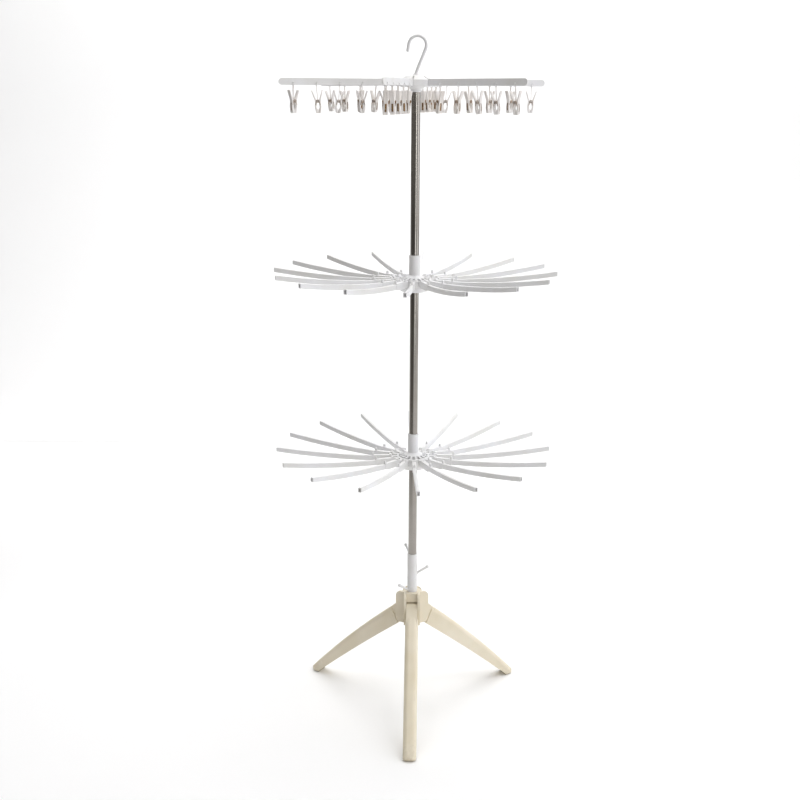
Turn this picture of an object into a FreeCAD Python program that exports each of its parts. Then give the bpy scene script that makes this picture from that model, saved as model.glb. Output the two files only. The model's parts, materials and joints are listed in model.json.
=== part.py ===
import FreeCAD, Part
import Sketcher
import math
import os
import re

# A free-standing drying tower, in millimetres.  The origin is on the floor under the pole, +Z is up.
# Three legs carry a pole.  Two tiers of curved arms turn on the pole, and a lift-off hanger with six
# bars of hanging clips sits on top.  Each sub-part is one document object whose Label names its file.

doc = FreeCAD.newDocument("drying_tower")
sizes = doc.addObject("Spreadsheet::Sheet", "sizes")

DIMENSIONS = [
    # pole
    ("pole_radius", 11, "outside of the steel tube"),
    ("pole_wall", 0.8, "wall of the steel tube"),
    ("slip_gap", 0.08, "radial gap where a part turns or slides on a round one"),
    ("rest_gap", 0.2, "gap between faces of parts that move on each other"),
    ("swing_gap", 0.3, "side gap of a hinged root between its walls"),
    ("cutter_clear", 5, "how far a cut runs past the face it leaves through"),
    # heights of the assembly
    ("lower_tier_height", 686, "pivot plane of the lower tier"),
    ("upper_tier_height", 1145, "pivot plane of the upper tier"),
    ("pole_top", 1604, "top end of the steel tube"),
    # base hub and legs
    ("hub_floor", 228, "underside of the base hub above the floor"),
    ("hub_height", 88, "height of the base hub"),
    ("core_wall", 2.6, "base hub's wall round the base tube"),
    ("cheek_cover", 10, "cheek outside the leg pivot"),
    ("cheek_wall", 6.4, "thickness of one cheek"),
    ("cheek_corner", 15, "round corners of a cheek"),
    ("cheek_curl", 1, "straight outer edge of a cheek starts this far below the pivot"),
    ("leg_root_width", 29, "leg between the cheeks"),
    ("leg_width", 34, "leg outside the cheeks"),
    ("leg_slot_height", 64, "height of the slot a leg turns in"),
    ("shoulder_wall", 6, "shoulder over a leg's root, outside the core"),
    ("leg_heel", 12.4, "leg behind its pivot"),
    ("leg_pivot_rise", 12, "leg pivot above the underside of the hub"),
    ("trunnion_radius", 4, "moulded pin of a leg"),
    ("trunnion_length", 4, "how far the pin stands out"),
    ("leg_reach", 323, "toe of a leg from the axis"),
    ("toe_height", 11, "top of the toe above the floor"),
    ("toe_length", 6, "toe beyond the sole"),
    ("toe_round", 7, "rounding of the toe"),
    ("sole_length", 18, "flat of the sole"),
    ("shoulder_out", 18, "upper corner of the wide leg outside the cheeks"),
    ("shoulder_up", 23, "that corner above the pivot"),
    ("armpit_in", 3.5, "lower corner of the wide leg inside the cheeks' reach"),
    ("armpit_down", 20.5, "that corner below the pivot"),
    ("leg_back_bend", 2450, "bend of the upper edge of a leg"),
    ("leg_belly_bend", 5000, "bend of the lower edge of a leg"),
    ("leg_round", 12, "rounding of the top edges of a leg"),
    ("root_top_gap", 4, "slot above the top of a leg's root"),
    ("root_bevel", 5, "corner taken off the root beside the core"),
    ("root_tuck", 2.5, "lower corner of the root outside the wide leg's"),
    ("root_lift", 2, "the same corner above the wide leg's"),
    ("root_inlay", 8, "end of the root inside the wide leg"),
    ("root_inlay_low", 6, "lower corner of that end above the wide leg's lower corner"),
    ("root_inlay_high", 10, "upper corner of that end below the wide leg's upper corner"),
    ("root_step", 1, "top edge of the root below the wide leg's upper corner"),
    ("toe_corner", 13, "rounding of the toe seen from above"),
    ("pad_height", 3, "foot pad"),
    ("pad_inset", 3, "foot pad inside the sides of the leg"),
    ("pad_flare", 1, "upper edge of the pad beyond its sole"),
    # white base tube
    ("base_tube_wall", 2, "wall of the base tube round the pole"),
    ("base_tube_sunk", 80, "base tube inside the hub"),
    ("base_tube_stand", 106, "base tube above the hub"),
    ("pole_sunk", 16, "pole inside the hub"),
    ("pole_ledge", 2, "ledge that the pole stands on"),
    ("peg_radius", 3.2, "small pegs round the base tube"),
    ("peg_knob", 4.6, "round end of such a peg"),
    ("peg_rise", 20, "height of the peg's end above its root"),
    ("peg_reach", 40, "peg's end from the axis"),
    ("peg_step", 46, "height between pegs"),
    ("peg_clear", 4, "root of the lowest peg above the hub"),
    # couplings
    ("flange_step", 1.3, "coupling flange outside the pole"),
    ("coupling_flange_height", 2, "thickness of that flange"),
    ("coupling_drop", 14, "underside of the flange below the pivot plane"),
    ("coupling_length", 38, "plug length into each tube"),
    # tier hub
    ("ring_radius", 36, "radius of the wire ring"),
    ("wire_radius", 1.2, "wire of the ring"),
    ("wire_gap", 0.3, "gap between wire and arm eye"),
    ("tier_rim", 6, "hub outside the wire ring"),
    ("tier_taper", 8, "flat plate under the hub inside its rim"),
    ("tier_depth", 23, "hub below the pivot plane"),
    ("tier_shoulder", 7, "rim of the hub above the pivot plane"),
    ("tier_rise", 4, "rise of the hub's top from its rim to the arm slots' inner ends"),
    ("slot_depth", 12, "arm slot inside the wire ring"),
    ("sleeve_wall", 2.7, "wall of the sleeve over the pole"),
    ("sleeve_lip", 0.8, "rim at the top of the sleeve"),
    ("sleeve_lip_height", 2.5, "height of that rim"),
    ("sleeve_lip_foot", 3.5, "foot of its slope below the top of the sleeve"),
    ("sleeve_top", 66, "top of the sleeve above the pivot plane"),
    ("sleeve_root", 17, "foot of the sleeve above the pivot plane"),
    # arms
    ("arm_count", 16, "arms of one tier"),
    ("tongue_width", 6, "arm between the hub's walls"),
    ("arm_root_height", 13.5, "height of an arm at its root"),
    ("arm_tip_height", 11.4, "height of an arm at its tip"),
    ("arm_width", 8, "width of an arm"),
    ("arm_reach", 352, "arm tip from the axis"),
    ("arm_rise", 25, "arm tip above the pivot plane"),
    ("arm_edge", 1.2, "rounding along an arm"),
    ("arm_wall", 1.6, "wall round the hollow end of an arm"),
    ("arm_hollow", 6, "depth of that hollow"),
    ("block_width", 9.4, "hinge block of an arm"),
    ("block_offset", 18, "hinge block outside the wire ring"),
    ("block_length", 52, "length of the hinge block"),
    ("block_top", 9, "top of the hinge block"),
    ("block_bottom", 7.6, "underside of the hinge block"),
    ("block_heel", 8, "slope under the outer end of the hinge block"),
    ("block_heel_rise", 3, "rise of that slope"),
    ("beam_inlay", 6, "beam inside its hinge block"),
    ("tongue_inlay", 2, "tongue inside the hinge block"),
    ("block_bump", 2.5, "small bump at its inner end"),
    ("bump_near", 3, "inner end of its flat top"),
    ("bump_far", 7, "outer end of its flat top"),
    ("bump_foot", 8, "outer foot of the bump"),
    ("bump_step", 2, "inner corner of the block below its top"),
    ("arm_peg_top", 17, "top of the peg on the hinge block"),
    ("arm_peg_width", 4.4, "width of that peg"),
    ("arm_peg_length", 5, "length of that peg along the arm"),
    ("arm_peg_root", 3, "peg inside the block"),
    ("arm_peg_crown", 2, "round end of the peg"),
    ("arm_peg_round", 3, "radius of that round end"),
    # hanger
    ("socket_wall", 2.2, "wall of the hanger's socket round the pole"),
    ("socket_overlap", 3.5, "socket below the top of the pole"),
    ("socket_skirt", 6, "straight foot of the socket"),
    ("bell_flare", 12, "hollow curve from the socket to the bell"),
    ("bell_rim", 10, "bell-shaped cover outside the bar pivots"),
    ("bell_rise", 20, "top of the bell above the bars' middle"),
    ("bell_floor", 3, "bell below the bar slots"),
    ("bell_lip_in", 4, "lower corner of the bell inside its rim"),
    ("bell_lip_floor", 2.5, "that corner below the bar slots"),
    ("bell_lip_round", 6, "rounding under the rim"),
    ("bell_lip_rise", 3, "lower end of the rim's upright face above the slots' floor"),
    ("bell_side_top", 2, "upper end of the upright face below the top of the bars"),
    ("bell_shoulder_round", 8, "rounding over the rim"),
    ("bell_shoulder_in", 7, "inner end of that rounding inside the rim"),
    ("bell_shoulder_rise", 1, "that end above the top of the bars"),
    ("bell_dome", 40, "curve of the bell's top"),
    ("collar_wall", 3.5, "foot of the collar round the hook's pin"),
    ("collar_top_wall", 2.5, "top of that collar"),
    ("collar_height", 3, "height of that collar"),
    ("bar_lift", 19, "middle line of the bars above the top of the pole"),
    ("bar_height", 15.8, "height of a bar"),
    ("bar_thickness", 3.6, "thickness of a bar"),
    ("bar_pivot", 31, "bar pivot from the axis"),
    ("bar_root_gap", 0.65, "bar root to the inner end of its slot"),
    ("bar_reach", 332, "bar tip from the axis"),
    ("bar_pin_radius", 2.5, "moulded pin of a bar"),
    ("bar_pin_length", 2, "how far it stands out"),
    ("spindle_step", 3, "stub of the spindle inside the pole's outside"),
    ("spindle_bevel", 1, "corner taken off the top of the stub"),
    ("spindle_height", 22, "stub above the top of the pole"),
    ("spindle_plug", 34, "plug length inside the pole"),
    ("spindle_flange_height", 2, "flange on the end of the pole"),
    # hook
    ("hook_wire", 3.7, "radius of the hook's rod"),
    ("hook_bend", 20.8, "radius of the hook's bend"),
    ("hook_lean", 22.2, "lean of the shank, degrees"),
    ("hook_shank", 57, "straight length of the shank"),
    ("hook_lift", 4, "lower end of the hook's pin above the spindle"),
    ("hook_neck_bend", 12, "bend where the shank leaves its pin"),
    ("hook_sweep", 170, "where the bend ends, degrees from +X"),
    ("hook_tail", 16, "straight end after the bend"),
    # clips
    ("clip_count", 5, "clips on one bar"),
    ("first_clip", 78, "innermost clip from the axis"),
    ("last_clip_inset", 34, "outermost clip inside the bar's tip"),
    ("clip_ring", 3.9, "radius of the ring through the bar"),
    ("clip_ring_wire", 1, "wire of that ring"),
    ("clip_ring_drop", 1.8, "ring centre above the bar's lower edge"),
    ("clip_hole", 1.8, "hole in the bar for the ring"),
    ("clip_hole_drop", 0.3, "hole's centre below the top of the ring's line"),
    ("clip_ring_axis", 5, "length of the line a clip's ring is turned about"),
    ("strap_length", 38, "ring centre to clip pivot"),
    ("strap_thickness", 1.8, "strap along the bar"),
    ("strap_width", 4, "strap across the bar"),
    ("strap_grip", 0.5, "strap over the lower side of its ring"),
    ("handle_height", 25, "handles above the clip pivot"),
    ("handle_spread", 12.5, "half distance between the handle ends"),
    ("handle_bevel", 1, "slope at the end of a handle"),
    ("lever_elbow", 2, "bend of a lever above its pivot"),
    ("lever_waist", 4, "straight inner face of a lever each side of the pivot"),
    ("jaw_depth", 27, "jaw tips below the clip pivot"),
    ("jaw_gap", 0.2, "gap between closed jaw tips, and between a lever and the strap's eye"),
    ("jaw_belly", 3, "half width of the opening behind the jaw tips"),
    ("belly_depth", 13.5, "widest part of that opening below the pivot"),
    ("belly_thinning", 0.4, "lever thinner there"),
    ("tip_thinning", 0.6, "lever thinner at the jaw tips"),
    ("jaw_bite", 5, "height of the closed jaw tips"),
    ("jaw_wall", 3, "thickness of a clip lever"),
    ("jaw_width", 12, "width of a clip lever"),
    ("clip_pin", 1, "spring pin of a clip"),
    ("clip_pin_gap", 0.15, "gap between that pin and the strap's eye"),
    ("clip_pin_end", 1, "pin beyond each side of the levers"),
]

# Places and sizes that follow from the driving ones.
DERIVED = {
    "pole_bore": "pole_radius - pole_wall",
    "hub_top": "hub_floor + hub_height",
    "base_tube_radius": "pole_radius + base_tube_wall",
    "core_radius": "base_tube_radius + core_wall",
    "leg_pivot_reach": "core_radius + leg_heel",
    "leg_pivot_height": "hub_floor + leg_pivot_rise",
    "leg_slot_top": "hub_floor + leg_slot_height",
    "cheek_reach": "leg_pivot_reach + cheek_cover",
    "shoulder_reach": "cheek_reach + shoulder_out",
    "shoulder_height": "leg_pivot_height + shoulder_up",
    "armpit_reach": "cheek_reach - armpit_in",
    "armpit_height": "leg_pivot_height - armpit_down",
    "sole_outer": "leg_reach - toe_length",
    "sole_inner": "sole_outer - sole_length",
    "base_tube_floor": "hub_top - base_tube_sunk",
    "base_tube_top": "hub_top + base_tube_stand",
    "pole_foot": "hub_top - pole_sunk",
    "first_peg": "hub_top + peg_clear",
    "coupling_flange": "pole_radius + flange_step",
    "tier_radius": "ring_radius + tier_rim",
    "tier_floor_radius": "tier_radius - tier_taper",
    "slot_inner": "ring_radius - slot_depth",
    "sleeve_radius": "pole_radius + sleeve_wall",
    "sleeve_rim": "sleeve_radius + sleeve_lip",
    "block_start": "ring_radius + block_offset",
    "block_end": "block_start + block_length",
    "socket_radius": "pole_radius + socket_wall",
    "socket_floor": "pole_top - socket_overlap",
    "spindle_radius": "pole_radius - spindle_step",
    "spindle_top": "pole_top + spindle_height",
    "bar_middle": "pole_top + bar_lift",
    "bar_slot_inner": "bar_pivot - bar_height/2 - bar_root_gap",
    "bell_radius": "bar_pivot + bell_rim",
    "bell_top": "bar_middle + bell_rise",
    "hook_foot": "spindle_top + hook_lift",
    "clip_pitch": "(bar_reach - last_clip_inset - first_clip) / (clip_count - 1)",
    "clip_eye": "2*clip_pin",
    "lever_inner": "clip_eye + jaw_gap",
}

for row, (alias, number, note) in enumerate(DIMENSIONS, start=1):
    sizes.set("A%d" % row, alias)
    sizes.set("B%d" % row, str(number))
    sizes.set("C%d" % row, note)
    sizes.setAlias("B%d" % row, alias)
doc.recompute()

ALIASES = {alias for alias, number, note in DIMENSIONS}


def bound(text):
    """Expression text in which every named size is read from the sheet."""
    def cell(match):
        word = match.group()
        if word in DERIVED:
            return "(" + bound(DERIVED[word]) + ")"
        return "sizes." + word if word in ALIASES else word
    return re.sub(r"[a-z_]+", cell, text)


def value(text):
    """The number that an expression on the sheet gives now."""
    result = sizes.evalExpression(bound(text))
    return float(getattr(result, "Value", result))


def bind(thing, **properties):
    """Bind properties of a document object to expressions on the sheet."""
    for name, text in properties.items():
        thing.setExpression(name, bound(text))


# ---------------------------------------------------------------- sketches and bodies

def new_body(name, several=False):
    body = doc.addObject("PartDesign::Body", name)
    body.Label = name
    body.AllowCompound = several
    return body


def origin_plane(body, role):
    return next(f for f in body.Origin.OriginFeatures if f.Role == role)


def new_sketch(body, name, role="XZ_Plane"):
    """A sketch on one of the body's own planes.  On the XZ plane, sketch x is +X and sketch y is +Z."""
    sketch = body.newObject("Sketcher::SketchObject", name)
    sketch.AttachmentSupport = (origin_plane(body, role), "")
    sketch.MapMode = "FlatFace"
    return sketch


def pin_point(sketch, element, point, across, up, tag):
    """Fix one vertex by its two distances from the sketch's origin, both bound to the sheet."""
    for kind, text in (("DistanceX", across), ("DistanceY", up)):
        index = sketch.addConstraint(Sketcher.Constraint(kind, -1, 1, element, point, value(text)))
        name = "%s_%s" % (tag, kind[-1].lower())
        sketch.renameConstraint(index, name)
        sketch.setExpression("Constraints." + name, bound(text))


def outline(sketch, points):
    """A closed outline.  Each point is (across, up) or (across, up, radius, side): the edge from it to
    the next point is then an arc of that radius, bulging to the left (side 1) or right (side -1)."""
    count = len(points)
    places = [FreeCAD.Vector(value(p[0]), value(p[1]), 0) for p in points]
    first = sketch.GeometryCount
    starts = []
    for index, point in enumerate(points):
        here = places[index]
        there = places[(index + 1) % count]
        if len(point) == 2:
            sketch.addGeometry(Part.LineSegment(here, there), False)
            starts.append((1, 2))
            continue
        radius = value(point[2])
        chord = there - here
        half = chord.Length / 2
        left = FreeCAD.Vector(-chord.y, chord.x, 0).normalize()
        rise = radius - math.sqrt(max(radius * radius - half * half, 0))
        middle = (here + there) * 0.5 + left * (rise * point[3])
        if point[3] < 0:
            sketch.addGeometry(Part.Arc(here, middle, there), False)
            starts.append((1, 2))
        else:
            sketch.addGeometry(Part.Arc(there, middle, here), False)
            starts.append((2, 1))
        spot = sketch.addConstraint(Sketcher.Constraint("Radius", first + index, radius))
        name = "arc_%d" % (first + index)
        sketch.renameConstraint(spot, name)
        sketch.setExpression("Constraints." + name, bound(point[2]))
    for index in range(count):
        after = (index + 1) % count
        sketch.addConstraint(Sketcher.Constraint(
            "Coincident", first + index, starts[index][1], first + after, starts[after][0]))
    for index, point in enumerate(points):
        pin_point(sketch, first + index, starts[index][0], point[0], point[1], "p%d" % (first + index))


def circle(sketch, across, up, radius, tag="hole"):
    spot = sketch.addGeometry(Part.Circle(
        FreeCAD.Vector(value(across), value(up), 0), FreeCAD.Vector(0, 0, 1), value(radius)), False)
    name = "%s_%d" % (tag, spot)
    index = sketch.addConstraint(Sketcher.Constraint("Radius", spot, value(radius)))
    sketch.renameConstraint(index, name)
    sketch.setExpression("Constraints." + name, bound(radius))
    pin_point(sketch, spot, 3, across, up, tag + "_at_%d" % spot)


def pad(body, sketch, name, width):
    """A plate of the sketch's outline, half its width to each side of the sketch's plane."""
    feature = body.newObject("PartDesign::Pad", name)
    feature.Profile = sketch
    feature.Midplane = True
    bind(feature, Length=width)
    sketch.Visibility = False
    doc.recompute()
    return feature


def pocket(body, sketch, name, width):
    """A cut of the sketch's outline, half its width to each side of the sketch's plane."""
    feature = body.newObject("PartDesign::Pocket", name)
    feature.Profile = sketch
    feature.Midplane = True
    bind(feature, Length=width)
    doc.recompute()
    return feature


def turned(body, sketch, name):
    """A full turn of the sketch's outline about the Z axis."""
    feature = body.newObject("PartDesign::Revolution", name)
    feature.Profile = sketch
    feature.ReferenceAxis = (sketch, ["V_Axis"])
    feature.Angle = 360
    doc.recompute()
    return feature


def long_edges(feature, length):
    """Names of a feature's edges that are longer than a length."""
    least = value(length)
    return ["Edge%d" % (n + 1) for n, edge in enumerate(feature.Shape.Edges) if edge.Length > least]


def polar(body, feature, name, count):
    """Copies of a feature round the Z axis."""
    pattern = body.newObject("PartDesign::PolarPattern", name)
    pattern.Originals = [feature]
    pattern.Axis = (origin_plane(body, "Z_Axis"), [""])
    pattern.Angle = 360
    bind(pattern, Occurrences=count)
    body.Tip = pattern
    doc.recompute()
    return pattern


def tube(name, inner, outer, low, high):
    """A round tube on the Z axis."""
    body = new_body(name)
    sketch = new_sketch(body, name + "_wall")
    outline(sketch, [(inner, low), (outer, low), (outer, high), (inner, high)])
    turned(body, sketch, name + "_turned")
    return body


def place(thing, height="0", turn=0.0):
    """Lift a sub-part to a height and turn it about the Z axis, in degrees."""
    upright = FreeCAD.Rotation(FreeCAD.Vector(0, 0, 1), turn)
    thing.Placement = FreeCAD.Placement(FreeCAD.Vector(0, 0, value(height)), upright)
    thing.setExpression("Placement.Base.z", bound(height))
    return thing


def group(name, members, turn=0.0):
    """Several separate solids that share one node."""
    compound = doc.addObject("Part::Compound", name)
    compound.Label = name
    compound.Links = members
    compound.Placement = FreeCAD.Placement(
        FreeCAD.Vector(0, 0, 0), FreeCAD.Rotation(FreeCAD.Vector(0, 0, 1), turn))
    doc.recompute()
    return compound


# ---------------------------------------------------------------- base

FRONT = -90.0
LEG_TWIST = -1.3
LEG_NAMES = ["leg_front", "leg_right", "leg_left"]
LEG_TURNS = {name: FRONT + LEG_TWIST + index * 120 for index, name in enumerate(LEG_NAMES)}
PEG_TURNS = [FRONT - 56, FRONT + 85, FRONT + 205]


def make_base_hub():
    """Three pairs of cheeks round a core; each pair holds a leg's root, under a short shoulder."""
    body = new_body("base_hub")
    side = new_sketch(body, "cheek_side")
    outline(side, [
        ("0", "hub_floor"),
        ("leg_pivot_reach", "hub_floor", "cheek_corner", -1),
        ("cheek_reach", "leg_pivot_height - cheek_curl"),
        ("cheek_reach", "hub_top - cheek_corner", "cheek_corner", -1),
        ("cheek_reach - cheek_corner", "hub_top"),
        ("0", "hub_top"),
    ])
    cheeks = pad(body, side, "cheeks", "leg_root_width + 2*swing_gap + 2*cheek_wall")
    polar(body, cheeks, "three_cheeks", "3")
    slot = new_sketch(body, "leg_slot")
    outline(slot, [
        ("core_radius", "hub_floor - cutter_clear"),
        ("cheek_reach + cutter_clear", "hub_floor - cutter_clear"),
        ("cheek_reach + cutter_clear", "hub_top + cutter_clear"),
        ("core_radius + shoulder_wall", "hub_top + cutter_clear"),
        ("core_radius + shoulder_wall", "leg_slot_top"),
        ("core_radius", "leg_slot_top"),
    ])
    slot_cut = pocket(body, slot, "leg_slot_cut", "leg_root_width + 2*swing_gap")
    polar(body, slot_cut, "three_leg_slots", "3")
    eye = new_sketch(body, "leg_eye")
    circle(eye, "leg_pivot_reach", "leg_pivot_height", "trunnion_radius + rest_gap")
    eye_cut = pocket(body, eye, "leg_eye_cut", "leg_root_width + 2*trunnion_length + 2*rest_gap")
    polar(body, eye_cut, "three_leg_eyes", "3")
    bore = new_sketch(body, "tube_bore")
    outline(bore, [
        ("0", "base_tube_floor"),
        ("base_tube_radius + slip_gap", "base_tube_floor"),
        ("base_tube_radius + slip_gap", "hub_top + cutter_clear"),
        ("0", "hub_top + cutter_clear"),
    ])
    groove = body.newObject("PartDesign::Groove", "tube_bore_cut")
    groove.Profile = bore
    groove.ReferenceAxis = (bore, ["V_Axis"])
    groove.Angle = 360
    doc.recompute()
    return place(body, turn=LEG_TURNS["leg_front"])


def round_toe(body, name, reach, half_width, radius):
    """Round both outer corners of a foot, seen from above."""
    for side, sign in (("near", -1), ("far", 1)):
        corner = new_sketch(body, "%s_%s_corner" % (name, side), "XY_Plane")
        flank = "%d*%s" % (sign, half_width)
        straight = "%d*(%s - %s)" % (sign, half_width, radius)
        beyond = "%d*(%s + toe_length)" % (sign, half_width)
        outline(corner, [
            ("%s - %s" % (reach, radius), flank, radius, sign),
            (reach, straight),
            (reach + " + toe_length", straight),
            (reach + " + toe_length", beyond),
            ("%s - %s" % (reach, radius), beyond),
        ])
        pocket(body, corner, "%s_%s_corner_cut" % (name, side), "2*leg_pivot_height")


def make_leg(name, turn):
    """An arched leg with a narrower root between the cheeks, moulded pins and a pad under its foot."""
    body = new_body(name + "_moulding")
    side = new_sketch(body, name + "_side")
    outline(side, [
        ("armpit_reach", "armpit_height", "leg_belly_bend", 1),
        ("sole_inner", "pad_height"),
        ("sole_outer", "pad_height", "toe_round", -1),
        ("leg_reach", "toe_height", "leg_back_bend", -1),
        ("shoulder_reach", "shoulder_height"),
    ])
    beam = pad(body, side, name + "_beam", "leg_width")
    half_way_up = value("leg_pivot_height") / 2
    upper = [e for e in long_edges(beam, "leg_reach/2") if beam.Shape.getElement(e).CenterOfMass.z > half_way_up]
    rounding = body.newObject("PartDesign::Fillet", name + "_rounding")
    rounding.Base = (beam, upper)
    bind(rounding, Radius="leg_round")
    doc.recompute()
    root = new_sketch(body, name + "_root")
    knuckle = "leg_pivot_reach - core_radius - rest_gap"
    outline(root, [
        ("core_radius + rest_gap", "leg_pivot_height", knuckle, -1),
        ("leg_pivot_reach", "leg_pivot_height - (%s)" % knuckle),
        ("armpit_reach + root_tuck", "armpit_height + root_lift"),
        ("shoulder_reach + root_inlay", "armpit_height + root_inlay_low"),
        ("shoulder_reach + root_inlay", "shoulder_height - root_inlay_high"),
        ("shoulder_reach", "shoulder_height - root_step"),
        ("leg_pivot_reach", "leg_slot_top - root_top_gap"),
        ("core_radius + rest_gap + root_bevel", "leg_slot_top - root_top_gap"),
        ("core_radius + rest_gap", "leg_slot_top - root_top_gap - root_bevel"),
    ])
    pad(body, root, name + "_root_plate", "leg_root_width")
    pin = new_sketch(body, name + "_pin")
    circle(pin, "leg_pivot_reach", "leg_pivot_height", "trunnion_radius")
    pad(body, pin, name + "_pins", "leg_root_width + 2*trunnion_length")
    round_toe(body, name, "leg_reach", "(leg_width/2)", "toe_corner")

    foot = new_body(name + "_pad")
    sole = new_sketch(foot, name + "_sole")
    outline(sole, [
        ("sole_inner", "0"),
        ("sole_outer", "0"),
        ("sole_outer + pad_flare", "pad_height"),
        ("sole_inner - pad_flare", "pad_height"),
    ])
    pad(foot, sole, name + "_sole_plate", "leg_width - 2*pad_inset")
    round_toe(foot, name + "_sole", "(sole_outer + pad_flare)", "(leg_width/2 - pad_inset)",
              "(toe_corner - pad_inset)")
    return group(name, [body, foot], turn)


def make_base_tube():
    """The white tube above the hub, with three small pegs that climb round it."""
    wall = new_body("base_tube_wall")
    sketch = new_sketch(wall, "base_tube_section")
    outline(sketch, [
        ("pole_radius - pole_ledge", "base_tube_floor"),
        ("base_tube_radius", "base_tube_floor"),
        ("base_tube_radius", "base_tube_top"),
        ("pole_radius + slip_gap", "base_tube_top"),
        ("pole_radius + slip_gap", "pole_foot"),
        ("pole_radius - pole_ledge", "pole_foot"),
    ])
    turned(wall, sketch, "base_tube_turned")
    pieces = []
    root = value("pole_radius + slip_gap")
    run = value("peg_reach") - root
    rise = value("peg_rise")
    lean = math.degrees(math.atan2(run, rise))
    for index, turn in enumerate(PEG_TURNS):
        height = value("first_peg") + index * value("peg_step")
        spin = FreeCAD.Rotation(FreeCAD.Vector(0, 0, 1), turn)
        tilt = spin.multiply(FreeCAD.Rotation(FreeCAD.Vector(0, 1, 0), lean))
        rod = doc.addObject("Part::Cylinder", "peg_%d" % (index + 1))
        bind(rod, Radius="peg_radius")
        rod.Height = math.hypot(run, rise)
        rod.Placement = FreeCAD.Placement(spin.multVec(FreeCAD.Vector(root, 0, height)), tilt)
        knob = doc.addObject("Part::Sphere", "peg_knob_%d" % (index + 1))
        bind(knob, Radius="peg_knob")
        knob.Placement.Base = spin.multVec(FreeCAD.Vector(root + run, 0, height + rise))
        pieces += [rod, knob]
    pegs = doc.addObject("Part::MultiFuse", "pegs")
    pegs.Shapes = pieces
    bore = doc.addObject("Part::Cylinder", "peg_bore")
    bind(bore, Radius="pole_radius + slip_gap", Height="base_tube_top - pole_foot")
    place(bore, "pole_foot")
    trimmed = doc.addObject("Part::Cut", "trimmed_pegs")
    trimmed.Base = pegs
    trimmed.Tool = bore
    fuse = doc.addObject("Part::MultiFuse", "base_tube")
    fuse.Label = "base_tube"
    fuse.Shapes = [wall, trimmed]
    doc.recompute()
    return fuse


# ---------------------------------------------------------------- pole

def make_poles():
    """Three sections of steel tube, joined inside the tiers."""
    lower_joint = "lower_tier_height - coupling_drop"
    upper_joint = "upper_tier_height - coupling_drop"
    above = " + coupling_flange_height"
    return [
        tube("lower_pole", "pole_bore", "pole_radius", "pole_foot", lower_joint),
        tube("middle_pole", "pole_bore", "pole_radius", lower_joint + above, upper_joint),
        tube("top_pole", "pole_bore", "pole_radius", upper_joint + above, "pole_top"),
    ]


def make_coupling(name, height):
    """A plug into the two sections, with a flange between them that carries a tier."""
    body = new_body(name)
    sketch = new_sketch(body, name + "_section")
    plug = "pole_bore - slip_gap"
    outline(sketch, [
        ("0", "-coupling_drop - coupling_length"),
        (plug, "-coupling_drop - coupling_length"),
        (plug, "-coupling_drop"),
        ("coupling_flange", "-coupling_drop"),
        ("coupling_flange", "coupling_flange_height - coupling_drop"),
        (plug, "coupling_flange_height - coupling_drop"),
        (plug, "coupling_flange_height - coupling_drop + coupling_length"),
        ("0", "coupling_flange_height - coupling_drop + coupling_length"),
    ])
    turned(body, sketch, name + "_turned")
    return place(body, height)


# ---------------------------------------------------------------- tiers

def make_tier_hub(name, height, turn):
    """A slotted hub with its sleeve over the pole; it turns on the coupling's flange."""
    body = new_body(name)
    section = new_sketch(body, name + "_section")
    bore = "pole_radius + slip_gap"
    counterbore = "coupling_flange + rest_gap"
    step = "coupling_flange_height - coupling_drop + rest_gap"
    outline(section, [
        (counterbore, "-tier_depth"),
        ("tier_floor_radius", "-tier_depth"),
        ("tier_radius", "-tier_depth/2"),
        ("tier_radius", "tier_shoulder"),
        ("slot_inner", "tier_shoulder + tier_rise"),
        ("sleeve_radius", "sleeve_root"),
        ("sleeve_radius", "sleeve_top - sleeve_lip_foot"),
        ("sleeve_rim", "sleeve_top - sleeve_lip_height"),
        ("sleeve_rim", "sleeve_top"),
        (bore, "sleeve_top"),
        (bore, step),
        (counterbore, step),
    ])
    turned(body, section, name + "_turned")
    channel = new_sketch(body, name + "_ring_channel")
    outline(channel, [
        ("ring_radius - wire_radius - slip_gap", "-wire_radius - slip_gap"),
        ("ring_radius + wire_radius + slip_gap", "-wire_radius - slip_gap"),
        ("ring_radius + wire_radius + slip_gap", "tier_shoulder + tier_rise + cutter_clear"),
        ("ring_radius - wire_radius - slip_gap", "tier_shoulder + tier_rise + cutter_clear"),
    ])
    groove = body.newObject("PartDesign::Groove", name + "_ring_groove")
    groove.Profile = channel
    groove.ReferenceAxis = (channel, ["V_Axis"])
    groove.Angle = 360
    doc.recompute()
    slot = new_sketch(body, name + "_slot")
    outline(slot, [
        ("slot_inner", "-arm_root_height/2 - rest_gap"),
        ("tier_radius + cutter_clear", "-arm_root_height/2 - rest_gap"),
        ("tier_radius + cutter_clear", "tier_shoulder + tier_rise + cutter_clear"),
        ("slot_inner", "tier_shoulder + tier_rise + cutter_clear"),
    ])
    cut = pocket(body, slot, name + "_slot_cut", "tongue_width + 2*swing_gap")
    polar(body, cut, name + "_slots", "arm_count")
    return place(body, height, turn)


def make_ring(name, height):
    """The wire ring that runs through the eyes of all the arms of a tier."""
    ring = doc.addObject("Part::Torus", name)
    ring.Label = name
    bind(ring, Radius1="ring_radius", Radius2="wire_radius")
    return place(ring, height)


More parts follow.
